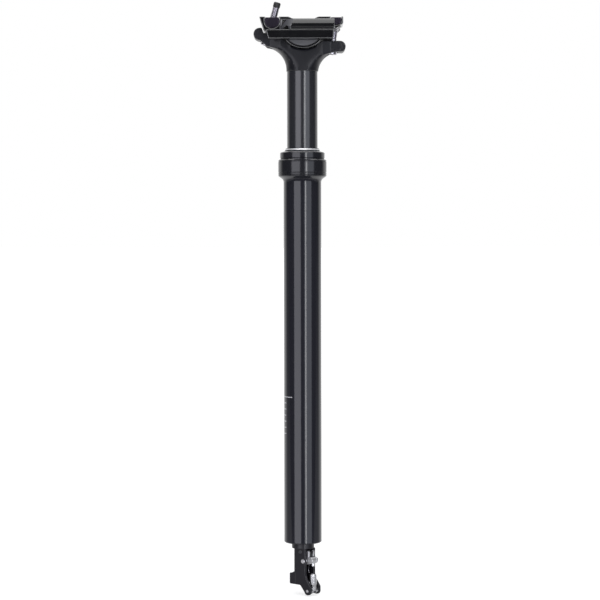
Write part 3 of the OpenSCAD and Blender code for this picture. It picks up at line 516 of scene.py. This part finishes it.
def build_ticks():
    """The height scale's mask."""
    tree, given, result = new_group("ticks", [], [("Mask", "Float")])
    point = place(tree, "TexCoord").outputs["Object"]
    axis = place(tree, "SeparateXYZ", {0: point}).outputs
    around = calc(tree, "ARCTAN2", axis["X"], calc(tree, "MULTIPLY", axis["Y"], -1.0))
    angle = calc(tree, "DEGREES", around)
    below = calc(tree, "SUBTRACT", TICK_TOP, axis["Z"])
    count = calc(tree, "ROUND", calc(tree, "DIVIDE", below, TICK_STEP))
    nearest = calc(tree, "MULTIPLY", count, TICK_STEP)
    off = calc(tree, "ABSOLUTE", calc(tree, "SUBTRACT", below, nearest))
    line = remap(tree, off, TICK_HALF - TICK_SOFT, TICK_HALF + TICK_SOFT, 1.0, 0.0)
    first = between(tree, below, -TICK_STEP / 2, TICK_STEP / 2, ROW_SOFT)
    row = between(tree, below, TICK_STEP / 2, (TICK_COUNT + 0.5) * TICK_STEP, ROW_SOFT)
    long = calc(tree, "MULTIPLY", first, between(tree, angle, *LONG_TICK, ANGLE_SOFT))
    short = calc(tree, "MULTIPLY", row, between(tree, angle, *SHORT_TICK, ANGLE_SOFT))
    feed(tree, result["Mask"], calc(tree, "MULTIPLY", line, calc(tree, "MAXIMUM", long, short)))
    return tree


ticks = build_ticks()
print("scale with", TICK_COUNT, "short ticks")

# %% [markdown]
# Black anodised alloy is dark and has a clear skin on top, so it mirrors little from the front and more
# at its rims. It could be a metal with a dark tint, but then the rims would stay dark too, so it is a
# plain dark surface. The tube is drawn, with marks along it, and carries the print. The collar is turned,
# with marks round it. The stanchion is polished, because a seal runs on it.

# %% Tube, collar and stanchion
ALONG = (5000.0, 5000.0, 25.0)
ROUND = (25.0, 25.0, 5000.0)
INK = (0.5, 0.5, 0.52, 1)

tree, inputs = finish("tube_black", (0.0118, 0.0121, 0.0165, 1), 0.11, tooth=(2600.0, 0.05),
                      marks=(ALONG, 0.05), smudge=0.02, seed=1.0)
colour = inputs["Base Color"]
feed(tree, colour, mix_colours(tree, use(tree, ticks)["Mask"], source(colour), INK))
finish("collar_black", (0.0105, 0.0107, 0.0135, 1), 0.14, marks=(ROUND, 0.10),
       wear_and_highlight=(0.15 * MM, 0.25, 0.25), seed=11.0)
finish("stanchion_black", (0.0165, 0.017, 0.0205, 1), 0.17, tooth=(4000.0, 0.03), marks=(ROUND, 0.03),
       smudge=0.03, specular=0.7, seed=21.0)
print("finishes so far:", ", ".join(materials))

# %% [markdown]
# The forgings are blasted before they are anodised, so they stay satin and their grain is coarse. The
# bracket at the foot is a shade warmer. The leaning end faces of the upper clamp look paler, a painted
# highlight where they face the light from above. These three differ from the tube only in numbers.

# %% Forged faces and painted-highlight facets
# The head's lighter corners and ridges are wear and painted highlight.
finish("forged_black", (0.0078, 0.0082, 0.0108, 1), 0.34, tooth=(2400.0, 0.5),
       wear_and_highlight=(0.25 * MM, 0.3, 0.07), specular=0.3, ridge_wear_and_highlight=0.5, seed=31.0)
finish("bracket_black", (0.0118, 0.0110, 0.0150, 1), 0.32, tooth=(2400.0, 0.4),
       wear_and_highlight=(0.2 * MM, 0.3, 0.07), specular=0.4, ridge_wear_and_highlight=0.4, seed=33.0)
# Paler colour for the leaning facets: a painted highlight.
finish("facet_painted_highlight", (0.052, 0.053, 0.06, 1), 0.42, tooth=(2400.0, 0.2), seed=37.0)
print("finishes so far:", len(materials))

# %% [markdown]
# The two clamps are glossier than the head, and their edges are made lighter in colour, partly worn bright
# by the rails and partly as a painted highlight. The round belly of the lower clamp runs in the head's
# cradle, so it is machined and satin; its satin patch is also paler than satin alone, a painted highlight.
# The patch ends short of the belly's rim and below its top, so the clamp's black stays there as painted
# shadow of the gap to the cradle and under the wings. It could be a second material on chosen faces, but a
# mask from the distance to the axis on which the clamp rocks gives a clean border whatever the mesh.

# %% Clamps
BELLY_AXIS = joints["clamp_tilt"]["pos_m"]
BELLY_R = 17.9 * MM
BELLY_TOP = 410.9 * MM
BELLY_SOFT = (0.4 * MM, 0.2 * MM)
SATIN_AND_LIT = (0.06, 0.061, 0.068, 1)
SATIN_ROUGH = 0.5

# Strongly lightened edges: wear from the rails and painted highlight.
tree, inputs = finish("clamp_black", (0.0028, 0.0029, 0.0038, 1), 0.13, tooth=(2400.0, 0.12),
                      wear_and_highlight=(0.5 * MM, 0.9, 0.22), specular=0.85, ridge_wear_and_highlight=0.8, seed=36.0)
# Pale satin patch on the belly: machined satin and painted highlight. The clamp's black kept at its rim and
# top is painted shadow.
point = place(tree, "TexCoord").outputs["Object"]
height = place(tree, "SeparateXYZ", {0: point}).outputs["Z"]
low = remap(tree, height, BELLY_TOP - BELLY_SOFT[1], BELLY_TOP + BELLY_SOFT[1], 1.0, 0.0)
flat = place(tree, "VectorMath", {0: point, 1: (1, 0, 1)}, operation="MULTIPLY").outputs["Vector"]
away = place(tree, "VectorMath", {0: flat, 1: BELLY_AXIS}, operation="DISTANCE").outputs["Value"]
near = remap(tree, away, BELLY_R - BELLY_SOFT[0], BELLY_R + BELLY_SOFT[0], 1.0, 0.0)
belly = calc(tree, "MULTIPLY", low, near)
colour, rough = inputs["Base Color"], inputs["Roughness"]
feed(tree, colour, mix_colours(tree, belly, source(colour), SATIN_AND_LIT))
feed(tree, rough, mix_numbers(tree, belly, source(rough), SATIN_ROUGH))
print("belly of", BELLY_R / MM, "mm round", [round(c / MM, 2) for c in BELLY_AXIS])

# %% [markdown]
# Only a narrow lip of the scraper ring is bare alloy, and the rest of it is dark. The lip is so thin that
# a mask from the height along the post is enough, and it also makes the surface a metal there.

# %% Scraper ring
RING_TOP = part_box("wiper_ring")[1][2]
RING_LIP = (RING_TOP - 1.45 * MM, RING_TOP - 0.4 * MM)
LIP_SOFT = 0.1 * MM
RING_DARK = (0.01, 0.01, 0.012, 1)

tree, inputs = finish("ring_alloy", (0.85, 0.85, 0.87, 1), 0.55, tooth=(3000.0, 0.2), marks=(ROUND, 0.2),
                      seed=66.0)
point = place(tree, "TexCoord").outputs["Object"]
height = place(tree, "SeparateXYZ", {0: point}).outputs["Z"]
light_mask = between(tree, height, *RING_LIP, LIP_SOFT)
colour = inputs["Base Color"]
feed(tree, colour, mix_colours(tree, light_mask, RING_DARK, source(colour)))
feed(tree, inputs["Metallic"], light_mask)
print("bright lip at", [round(z / MM, 2) for z in RING_LIP], "mm")

# %% [markdown]
# Steel and bare alloy are true metals: they have no colour but that of what they mirror, with a tint of
# their own. Turned pieces get marks round them and cast ones a coarser grain. Seals are rubber, bushings
# are a hard plastic and the guide keys are brass.

# %% Steel, alloy and inner pieces
finish("bright_steel", (0.50, 0.485, 0.525, 1), 0.2, metal=1.0, marks=(ROUND, 0.15),
       wear_and_highlight=(0.1 * MM, 0.3, 0.5), seed=41.0)
finish("pin_steel", (0.92, 0.91, 0.94, 1), 0.26, metal=1.0, tooth=(3000.0, 0.2), seed=46.0)
finish("screw_grey", (0.15, 0.15, 0.16, 1), 0.42, metal=1.0, tooth=(3000.0, 0.3), seed=48.0)
finish("nut_dark", (0.03, 0.026, 0.036, 1), 0.36, metal=1.0, tooth=(2000.0, 0.5),
       wear_and_highlight=(0.2 * MM, 0.4, 0.12), seed=51.0)
finish("bright_alloy", (0.74, 0.74, 0.755, 1), 0.24, metal=1.0, marks=(ROUND, 0.15),
       wear_and_highlight=(0.1 * MM, 0.3, 0.6), seed=61.0)
finish("lever_alloy", (0.86, 0.86, 0.875, 1), 0.42, metal=1.0, tooth=(3000.0, 0.3), seed=63.0)
finish("rubber_black", (0.012, 0.012, 0.012, 1), 0.65, tooth=(1800.0, 0.8), seed=71.0)
finish("bushing_grey", (0.3, 0.3, 0.32, 1), 0.5, tooth=(1500.0, 0.5), seed=81.0)
finish("brass", (0.72, 0.52, 0.22, 1), 0.28, metal=1.0, marks=(ROUND, 0.15), seed=91.0)
print(len(materials), "finishes")

# %% [markdown]
# The record names a material for every node. Most nodes simply take the finish of that name. A few
# pieces look different from the others of their material, and they are listed one by one.

# %% Dress the nodes
finish_of = {
    **slot_of,
    "lower_clamp": "clamp_black",
    "upper_clamp": "clamp_black",
    "wiper_ring": "ring_alloy",
    "actuator_bracket": "bracket_black",
    "lever_pivot_pin": "pin_steel",
    "stop_pins": "pin_steel",
    "lock_screw": "screw_grey",
    "release_lever": "lever_alloy",
    "cable_barrel": "lever_alloy",
}


def dress(obj, name):
    """Gives a piece one finish."""
    obj.data.materials.clear()
    obj.data.materials.append(materials[name])


for name, node in nodes.items():
    dress(node, finish_of[name])
print(len(set(finish_of.values())), "finishes on", len(nodes), "nodes")

# %% [markdown]
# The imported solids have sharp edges, because that is how a construction is drawn. Forged and machined
# pieces don't: every edge is broken and catches light. A bevel would do on a plain block, but it breaks
# down where many cuts cross. So a copy of each such node is wrapped in a fine skin of small squares, and
# the skin is relaxed a little, which rounds edges and leaves the faces where they are. The copy then
# stands in for its node and rides on the same body. A prism can be added to the copy first, where the
# real piece is fuller than its solid.

# %% Soft skins
def new_object(name, mesh):
    """Puts a mesh into the scene."""
    piece = bpy.data.objects.new(name, mesh)
    bpy.context.scene.collection.objects.link(piece)
    return piece


def worked(obj):
    """The mesh of an object after its modifiers, with smooth faces. The object itself goes."""
    mesh = bpy.data.meshes.new_from_object(obj.evaluated_get(bpy.context.evaluated_depsgraph_get()))
    mesh.polygons.foreach_set("use_smooth", [True] * len(mesh.polygons))
    bpy.data.objects.remove(obj)
    return mesh


def prism(bm, outline, half):
    """Adds a prism across the post: an outline of (x, z), from -half to half."""
    sides = [[bm.verts.new((x, y, z)) for x, z in outline] for y in (-half, half)]
    faces = [bm.faces.new(sides[0]), bm.faces.new(sides[1][::-1])]
    for k in range(len(outline)):
        n = (k + 1) % len(outline)
        faces.append(bm.faces.new((sides[0][k], sides[1][k], sides[1][n], sides[0][n])))
    bmesh.ops.recalc_face_normals(bm, faces=faces)


def soft_skin(name, square, rounds, outlines=(), half=0.0):
    """A node's mesh in small squares, relaxed for a few rounds. Prisms on the outlines join it."""
    bm = bmesh.new()
    bm.from_mesh(nodes[name].data)
    for outline in outlines:
        prism(bm, outline, half)
    mesh = bpy.data.meshes.new("work")
    bm.to_mesh(mesh)
    bm.free()
    work = new_object("work", mesh)
    remesh = work.modifiers.new("remesh", "REMESH")
    remesh.mode = "VOXEL"
    remesh.voxel_size = square
    relax = work.modifiers.new("relax", "SMOOTH")
    relax.factor = 0.5
    relax.iterations = rounds
    return worked(work)


def stand_in(name, mesh):
    """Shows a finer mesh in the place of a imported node, on the same body."""
    piece = new_object(name + "_fine", mesh)
    dress(piece, finish_of[name])
    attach(piece, body_of(nodes[name])[0])
    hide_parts(name)
    print(piece.name, "with", len(mesh.polygons), "faces")
    return piece


print("skin helpers ready")

# %% [markdown]
# The head is one forging: a round neck that flares out into two arms, each bored for a bolt. The rear arm
# is a little fuller toward the clamp than its solid, so a small prism joins the skin there. The flare of
# the solid has creases where two cuts meet, and a forging has none. It could be drawn again as a loft,
# but letting every point of the neck move toward its neighbours many times has the same effect. Last, the
# seats of the washers are widened to their drawn radius, because the skin narrows them.

# %% Head
HEAD_FOOT = 386.32 * MM
ARM_HALF = 8.6 * MM
ARM_FILL = [(-34.5, 29.5), (-34.5, 35.05), (-32.95, 35.05), (-31.6, 31.3), (-31.45, 30.85),
            (-28.0, 30.85), (-28.0, 29.5)]
NECK_X = (-20 * MM, 16.5 * MM)
NECK_Z = (389 * MM, 407 * MM)
NECK_ROUNDS = 100
BOLT_LEAN = {"rear_bolt_swing": 14.8, "front_bolt_swing": 9.0}
SEAT_REACH = 7 * MM
SEAT_R = (5.2 * MM, 5.84 * MM)


def relax_neck(mesh):
    """Runs the flare of the head into its neck without a crease, clear of the seats in the arms."""
    bm = bmesh.new()
    bm.from_mesh(mesh)
    neck = [vert for vert in bm.verts
            if NECK_X[0] < vert.co.x < NECK_X[1] and NECK_Z[0] < vert.co.z < NECK_Z[1]]
    axes = {"use_axis_x": True, "use_axis_y": True, "use_axis_z": True}
    for _ in range(NECK_ROUNDS):
        bmesh.ops.smooth_vert(bm, verts=neck, factor=0.5, **axes)
    bm.to_mesh(mesh)
    bm.free()


def free_seats(mesh):
    """Keeps the round seats of the bolt washers as wide as they are drawn."""
    for joint, lean in BOLT_LEAN.items():
        seat = Vector(joints[joint]["pos_m"])
        axis = Vector((sin(radians(lean)), 0, cos(radians(lean))))
        for vert in mesh.vertices:
            away = vert.co - seat
            along = away.dot(axis)
            across = away - along * axis
            if abs(along) < SEAT_REACH and SEAT_R[0] < across.length < SEAT_R[1]:
                vert.co += across * (SEAT_R[1] / across.length - 1)


arm = [(x * MM, HEAD_FOOT + z * MM) for x, z in ARM_FILL]
head_mesh = soft_skin("saddle_head", 0.38 * MM, 5, [arm], ARM_HALF)
relax_neck(head_mesh)
free_seats(head_mesh)
stand_in("saddle_head", head_mesh)

# %% [markdown]
# The lower clamp is a plain machined block with a round belly and two rail grooves, so it needs only the
# skin. The squares have to be smaller than the edges that they round.

# %% Lower clamp
stand_in("lower_clamp", soft_skin("lower_clamp", 0.3 * MM, 3))

# %% [markdown]
# The upper clamp is pulled down on the saddle's rails by two barrel nuts, which slide in from the side.
# Its wall closes over each nut with two lips. They could be cut from a block round the nut, but an
# outline with a curved inner side gives the same form, and prisms on it join the copy before the skin.

# %% Spine of the upper clamp
NUT_R = {"rear_nut_turn": 6.1 * MM, "front_nut_turn": 4.6 * MM}
NUT_ROOM = 0.3 * MM
LIP_WALL = 0.5 * MM
LIP_STEPS = 6
LIP_HALF = 14.7 * MM
CLAMP_TOP = 429.82 * MM


def nut_lips(joint):
    """Outlines of the two lips that close over a barrel nut, one on each side."""
    x, _, z = joints[joint]["pos_m"]
    room = NUT_R[joint] + NUT_ROOM
    steps = [(CLAMP_TOP - z) * k / LIP_STEPS for k in range(LIP_STEPS + 1)]
    curve = [(sqrt(room * room - up * up), z + up) for up in steps]
    wall = [(room + LIP_WALL, CLAMP_TOP), (room + LIP_WALL, z)]
    return [[(x + side * dx, dz) for dx, dz in curve + wall] for side in (-1, 1)]


lips = [outline for joint in NUT_R for outline in nut_lips(joint)]
clamp_mesh = soft_skin("upper_clamp", 0.31 * MM, 3, lips, LIP_HALF)
print(len(lips), "lips over", len(NUT_R), "barrel nuts")

# %% [markdown]
# The wings reach out on both sides and press on the rails. Their shoulders roll over toward the top, and
# their rear end faces lean. Points of the skin are moved for that, since the change is a smooth one and the
# skin is fine enough to follow it. The leaning faces get the paler finish, a painted highlight.

# %% Wings of the upper clamp
SHOULDER_LOW = 420.9 * MM
SHOULDER_TOP = 427.3 * MM
SHOULDER_IN = 4.6 * MM
WING_HALF = 28 * MM
WING_FROM = 15.4 * MM
SLANT_AT = (-17.6 * MM, -14.8 * MM)
SLANT_IN = (0.855, 0.518)
SLANT_LEAN = 0.6
FACET_FROM = 15.2 * MM
FACET_TURN = -0.45


def round_shoulders(mesh):
    """Rolls the outer and the slanted face of the upper clamp's wings over toward the top."""
    for vert in mesh.vertices:
        x, y, z = vert.co
        if abs(y) < WING_FROM or z < SHOULDER_LOW:
            continue
        part = min((z - SHOULDER_LOW) / (SHOULDER_TOP - SHOULDER_LOW), 1.0)
        inward = SHOULDER_IN * (1 - sqrt(1 - part * part))
        near = -abs(y)
        slant = (x - SLANT_AT[0]) * SLANT_IN[0] + (near - SLANT_AT[1]) * SLANT_IN[1]
        lean = SLANT_LEAN * (z - SHOULDER_LOW)
        if slant < lean:
            x += (lean - slant) * SLANT_IN[0]
            near += (lean - slant) * SLANT_IN[1]
        near = max(near, inward - WING_HALF)
        vert.co = (x, near if y < 0 else -near, z)


round_shoulders(clamp_mesh)
stand_in("upper_clamp", clamp_mesh)
# The wing faces that look to the rear take the paler finish as a painted highlight.
clamp_mesh.materials.append(materials["facet_painted_highlight"])
for face in clamp_mesh.polygons:
    if face.normal.x < FACET_TURN and abs(face.center.y) > FACET_FROM:
        face.material_index = 1
print(sum(face.material_index for face in clamp_mesh.polygons), "faces of the wings in facet_painted_highlight")

# %% [markdown]
# The rest of the machined pieces need only a skin: the barrel nuts, and at the foot the bracket, the
# lever, the housing stop, the pins and the screw. Each has the size of its squares and its rounds of
# relaxing. The pins are relaxed for longer, so that their ends become domes.

# %% Small machined pieces
SKINS = {
    "rear_barrel_nut": (0.35 * MM, 2),
    "front_barrel_nut": (0.35 * MM, 2),
    "actuator_bracket": (0.25 * MM, 3),
    "release_lever": (0.18 * MM, 2),
    "housing_stop": (0.2 * MM, 2),
    "lever_pivot_pin": (0.15 * MM, 12),
    "lock_screw": (0.15 * MM, 4),
    "stop_pins": (0.15 * MM, 8),
}

for name, (square, rounds) in SKINS.items():
    stand_in(name, soft_skin(name, square, rounds))

# %% [markdown]
# Between collar and cap the solids leave a deep line, because each is drawn with its own corner. On the
# real post the cap's skirt closes it, so a plain dark hoop fills the line almost to the cap's edge.

# %% Hoop under the cap
HOOP_R = (16.3 * MM, 18.1 * MM)
HOOP_Z = (314.25 * MM, 315.0 * MM)
HOOP_STEPS = 128
SHARP_DEG = 35


def kept_mesh(bm, name):
    """Turns worked faces into a mesh with outward normals, sharp where they meet at an angle."""
    bmesh.ops.recalc_face_normals(bm, faces=bm.faces)
    mesh = bpy.data.meshes.new(name)
    bm.to_mesh(mesh)
    bm.free()
    mesh.set_sharp_from_angle(angle=radians(SHARP_DEG))
    return mesh


def hoop(name, radii, heights):
    """A plain ring from two radii and two heights."""
    (inner, outer), (low, high) = radii, heights
    corners = [(inner, low), (outer, low), (outer, high), (inner, high)]
    bm = bmesh.new()
    rows = []
    for k in range(HOOP_STEPS):
        turn = tau * k / HOOP_STEPS
        rows.append([bm.verts.new((r * cos(turn), r * sin(turn), z)) for r, z in corners])
    for this, following in zip(rows, rows[1:] + rows[:1]):
        for c in range(4):
            d = (c + 1) % 4
            bm.faces.new((this[c], this[d], following[d], following[c]))
    return new_object(name, kept_mesh(bm, name))


skirt = hoop("cap_skirt", HOOP_R, HOOP_Z)
dress(skirt, "collar_black")
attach(skirt, body_of(nodes["wiper_cap"])[0])
print(skirt.name, "with", len(skirt.data.polygons), "faces")

# %% [markdown]
# A bolt is a stack of rings. Each ring has a height and a radius, and where the radius changes with the
# angle the ring is no circle: six flats make the socket, and a ridge that climbs one pitch each turn
# makes the thread. A screw modifier could wind the thread too, but then head and socket would have to be
# joined to it. With rings the whole bolt is one closed mesh.

# %% Rings and threads
BOLT_R = 3 * MM
SOCKET_HALF = 2.5 * MM
PITCH = 1 * MM
THREAD_DEPTH = 0.5 * MM
RING_STEPS = 48


def six_flats(angle):
    """Radius of the socket's hexagon at an angle."""
    return SOCKET_HALF / cos((angle % (pi / 3)) - pi / 6)


def thread(z):
    """Radius function of the thread at one height."""
    def radius(angle):
        turn = (z / PITCH - angle / tau) % 1.0
        return BOLT_R - THREAD_DEPTH * min(1.0, max(0.0, 2.6 * abs(turn - 0.5) - 0.15))
    return radius


def spun(rings, name):
    """A closed mesh from rings of (radius or radius function, height); the first and last are points."""
    bm = bmesh.new()
    first = bm.verts.new((0, 0, rings[0][1]))
    rows = []
    for radius, z in rings[1:-1]:
        row = []
        for k in range(RING_STEPS):
            angle = tau * k / RING_STEPS
            r = radius(angle) if callable(radius) else radius
            row.append(bm.verts.new((r * cos(angle), r * sin(angle), z)))
        rows.append(row)
    last = bm.verts.new((0, 0, rings[-1][1]))
    for k in range(RING_STEPS):
        n = (k + 1) % RING_STEPS
        bm.faces.new((first, rows[0][n], rows[0][k]))
        for low, high in zip(rows, rows[1:]):
            bm.faces.new((low[k], low[n], high[n], high[k]))
        bm.faces.new((last, rows[-1][k], rows[-1][n]))
    return kept_mesh(bm, name)


print("thread of", PITCH / MM, "mm pitch and", THREAD_DEPTH / MM, "mm depth")

# %% [markdown]
# Both clamp bolts have a socket head that sits in its arm from below, a plain shank and a thread. They
# are drawn upright from the middle of the seat and then leaned into place, so that one function makes
# both. The seat is also where the bolt's joint is.

# %% Bolts
BOLT_HEAD_R = 4.9 * MM
HEAD_LOW = -2.6 * MM
HEAD_HIGH = 2 * MM
SOCKET_DEPTH = 3 * MM
SHANK_R = BOLT_R - 0.05 * MM
RINGS_PER_TURN = 8


def bolt_rings(length, thread_from, tip):
    """Rings of a socket head bolt from the socket's floor to its end."""
    socket_floor = HEAD_LOW + SOCKET_DEPTH
    rings = [(0, socket_floor), (six_flats, socket_floor), (six_flats, HEAD_LOW),
             (BOLT_HEAD_R - 0.6 * MM, HEAD_LOW), (BOLT_HEAD_R - 0.17 * MM, HEAD_LOW + 0.17 * MM),
             (BOLT_HEAD_R, HEAD_LOW + 0.6 * MM), (BOLT_HEAD_R, HEAD_HIGH),
             (SHANK_R, HEAD_HIGH), (SHANK_R, thread_from)]
    step = PITCH / RINGS_PER_TURN
    count = int((length - tip - thread_from) / step)
    rings += [(thread(z), z) for z in (thread_from + step * (k + 1) for k in range(count))]
    return rings + [(BOLT_R - 0.6 * MM, length - tip), (BOLT_R - 0.9 * MM, length), (0, length)]


def leaned(mesh, joint):
    """Moves an upright mesh to a bolt's seat and leans it."""
    lean = Matrix.Rotation(radians(BOLT_LEAN[joint]), 4, "Y")
    mesh.transform(Matrix.Translation(Vector(joints[joint]["pos_m"])) @ lean)
    return mesh


def bolt(name, joint, length, thread_from, tip):
    """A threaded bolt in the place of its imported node."""
    return stand_in(name, leaned(spun(bolt_rings(length, thread_from, tip), name), joint))


bolt("rear_clamp_bolt", "rear_bolt_swing", 29.8 * MM, 12 * MM, 0.3 * MM)
bolt("front_clamp_bolt", "front_bolt_swing", 26.6 * MM, 10 * MM, 1.0 * MM)

# %% [markdown]
# The end of the rear bolt stands clear of its nut and carries a dark tip. It has another material than
# the bolt, so it is a piece of its own, on the same body. It is spun from rings like the bolt.

# %% Tip of the rear bolt
TIP_RINGS = [(0, 29.7), (2.3, 29.7), (2.85, 29.9), (2.9, 30.3), (2.9, 33.0), (2.7, 33.6), (2.2, 33.95),
             (0, 34)]

tip_mesh = spun([(r * MM, z * MM) for r, z in TIP_RINGS], "rear_bolt_tip")
tip = new_object("rear_bolt_tip", leaned(tip_mesh, "rear_bolt_swing"))
dress(tip, "rubber_black")
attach(tip, "rear_bolt")
print(tip.name, "with", len(tip_mesh.polygons), "faces")

# %% [markdown]
# The return spring is a bent wire. Its packed form has flat sides, so a subdivided copy makes it round.
# One leg stands on the housing stop and the other pushes the lever, so between its two ends the wire
# turns from one body to the other, along the lever's pivot.

# %% Return spring
SPRING_HALF = 2.3 * MM

work = new_object("work", nodes["return_spring"].data.copy())
work.modifiers.new("round", "SUBSURF").levels = 1
wire = new_object("return_spring_fine", worked(work))
dress(wire, "bright_steel")
pivot = Vector(joints["lever_pivot"]["pos_m"])
half = Vector(joints["lever_pivot"]["axis"]).normalized() * SPRING_HALF
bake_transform(wire, "outer", "lever", start=tuple(pivot - half), end=tuple(pivot + half))
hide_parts("return_spring")
print(wire.name, "with", len(wire.data.polygons), "faces")
